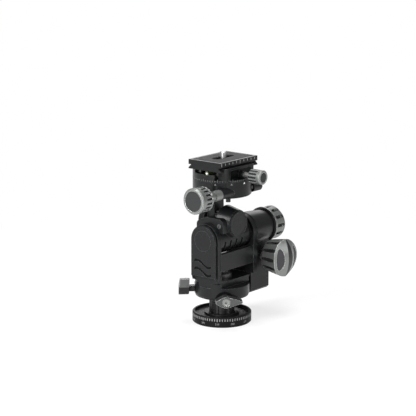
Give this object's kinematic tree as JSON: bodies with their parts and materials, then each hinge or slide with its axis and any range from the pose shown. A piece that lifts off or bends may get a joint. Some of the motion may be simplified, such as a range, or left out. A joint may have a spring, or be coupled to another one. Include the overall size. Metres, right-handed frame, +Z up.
{
  "type": "geared tripod head",
  "caption": "Compact geared tripod head: worm drives for tilt, roll and pan above a lockable pan base, with a dovetail clamp and camera plate on top.",
  "frame": {"origin": "centre of the tripod thread in the plane of the base disc's underside", "axes": "+Z up along the pan axis, +X along the camera plate towards the roll knob, -Y towards the tilt and clamp knobs"},
  "size_m": [0.1486, 0.0779, 0.1625],
  "materials": {
    "black": "semi-gloss black anodised",
    "titanium": "titanium grey anodised, bright turned edges",
    "inlay": "matt dark grey",
    "steel": "machined",
    "dark_steel": "black oxide",
    "bronze": "machined",
    "pad": "ribbed matt",
    "vial": "clear tinted acrylic"
  },
  "bodies": {
    "base": {"base_disc": "black", "thread_insert": "steel", "pan_spindle": "black", "spindle_screws": "steel", "spindle_nut": "steel"},
    "yoke_unit": {"yoke": "black", "left_cover": "black", "left_bush": "bronze", "right_bush": "bronze", "gear_case": "black", "case_lid": "black", "case_lid_screws": "dark_steel", "tilt_collar": "titanium", "lock_shoes": "bronze"},
    "pan_lock": {"pan_lock_lever": "titanium", "pan_lock_lever_screw": "dark_steel"},
    "drag_control": {"drag_lever": "titanium", "drag_lever_screw": "dark_steel"},
    "tilt_drive": {"tilt_worm": "steel", "tilt_knob": "titanium", "tilt_knob_inlays": "inlay"},
    "layshaft": {"lay_pinion": "steel", "lay_wheel": "bronze"},
    "tilt_cradle": {"cradle": "black", "tilt_pin": "steel", "tilt_trunnion": "steel", "tilt_gear": "steel", "shaft_bush": "bronze", "nose_cap": "black", "ear_screw": "dark_steel"},
    "roll_drive": {"roll_worm": "steel", "roll_knob": "titanium", "roll_knob_inlays": "inlay"},
    "roll_saddle": {"roll_shaft": "steel", "roll_wheel": "bronze", "roll_neck": "black", "neck_screws": "dark_steel", "pan_stator": "black", "preload_screw": "dark_steel", "worm_boss": "black", "worm_end_cap": "black", "pan_retainer": "steel"},
    "pan_drive": {"pan_worm": "steel", "pan_knob": "titanium", "pan_knob_insert": "inlay"},
    "pan_rotor": {"clamp_body": "black", "pan_wheel": "bronze", "guide_pins": "steel", "bubble_level": "vial"},
    "front_jaw": {"clamp_jaw": "black"},
    "clamp_drive": {"clamp_knob": "titanium", "clamp_knob_insert": "inlay", "clamp_screw": "steel"},
    "plate_unit": {"camera_plate": "black", "plate_pad": "pad", "plate_stops": "dark_steel"},
    "camera_bolt": {"camera_screw": "steel"}
  },
  "joints": [
    {"name": "base_pan", "type": "hinge", "parent": "base", "child": "yoke_unit", "pos_m": [0, 0, 0.037], "axis": [0, 0, 1], "continuous": true},
    {"name": "pan_lock_turn", "type": "hinge", "parent": "yoke_unit", "child": "pan_lock", "pos_m": [-0.02121, -0.02121, 0.0274], "axis": [-0.7071, -0.7071, 0], "range_deg": [-35, 35]},
    {"name": "drag_turn", "type": "hinge", "parent": "yoke_unit", "child": "drag_control", "pos_m": [-0.02121, 0.02121, 0.0322], "axis": [-0.7071, 0.7071, 0], "range_deg": [-35, 35]},
    {"name": "tilt", "type": "hinge", "parent": "yoke_unit", "child": "tilt_cradle", "pos_m": [0, 0, 0.082], "axis": [1, 0, 0], "range_deg": [-90, 35]},
    {"name": "layshaft_turn", "type": "hinge", "parent": "yoke_unit", "child": "layshaft", "pos_m": [0, 0.003, 0.06675], "axis": [1, 0, 0], "range_deg": [-72, 182]},
    {"name": "tilt_knob_turn", "type": "hinge", "parent": "yoke_unit", "child": "tilt_drive", "pos_m": [0.053, 0, 0.056], "axis": [0, 1, 0], "range_deg": [-3610, 1410]},
    {"name": "roll", "type": "hinge", "parent": "tilt_cradle", "child": "roll_saddle", "pos_m": [0, 0, 0.0965], "axis": [0, 1, 0], "range_deg": [-27.5, 27.5]},
    {"name": "roll_knob_turn", "type": "hinge", "parent": "tilt_cradle", "child": "roll_drive", "pos_m": [0, 0, 0.082], "axis": [1, 0, 0], "range_deg": [-552, 552]},
    {"name": "camera_pan", "type": "hinge", "parent": "roll_saddle", "child": "pan_rotor", "pos_m": [0, 0, 0.138], "axis": [0, 0, 1], "continuous": true},
    {"name": "pan_knob_turn", "type": "hinge", "parent": "roll_saddle", "child": "pan_drive", "pos_m": [0, -0.02, 0.1285], "axis": [1, 0, 0], "continuous": true},
    {"name": "clamp_jaw_slide", "type": "slide", "parent": "pan_rotor", "child": "front_jaw", "axis": [0, -1, 0], "range_m": [0, 0.003]},
    {"name": "clamp_knob_turn", "type": "hinge", "parent": "front_jaw", "child": "clamp_drive", "pos_m": [0.0055, 0, 0.1424], "axis": [0, -1, 0], "range_deg": [-1, 1083]},
    {"name": "plate_slide", "type": "slide", "parent": "pan_rotor", "child": "plate_unit", "axis": [1, 0, 0], "range_m": [-0.015, 0.015]},
    {"name": "camera_screw_turn", "type": "hinge", "parent": "plate_unit", "child": "camera_bolt", "pos_m": [0.0015, 0, 0.157], "axis": [0, 0, 1], "continuous": true}
  ],
  "couplings": [
    {"joint": "layshaft_turn", "follows": "tilt", "ratio": -2},
    {"joint": "tilt_knob_turn", "follows": "tilt", "ratio": 40},
    {"joint": "roll_knob_turn", "follows": "roll", "ratio": 20},
    {"joint": "pan_knob_turn", "follows": "camera_pan", "ratio": -40},
    {"joint": "clamp_knob_turn", "follows": "clamp_jaw_slide", "rad_per_m": 6283.2}
  ]
}
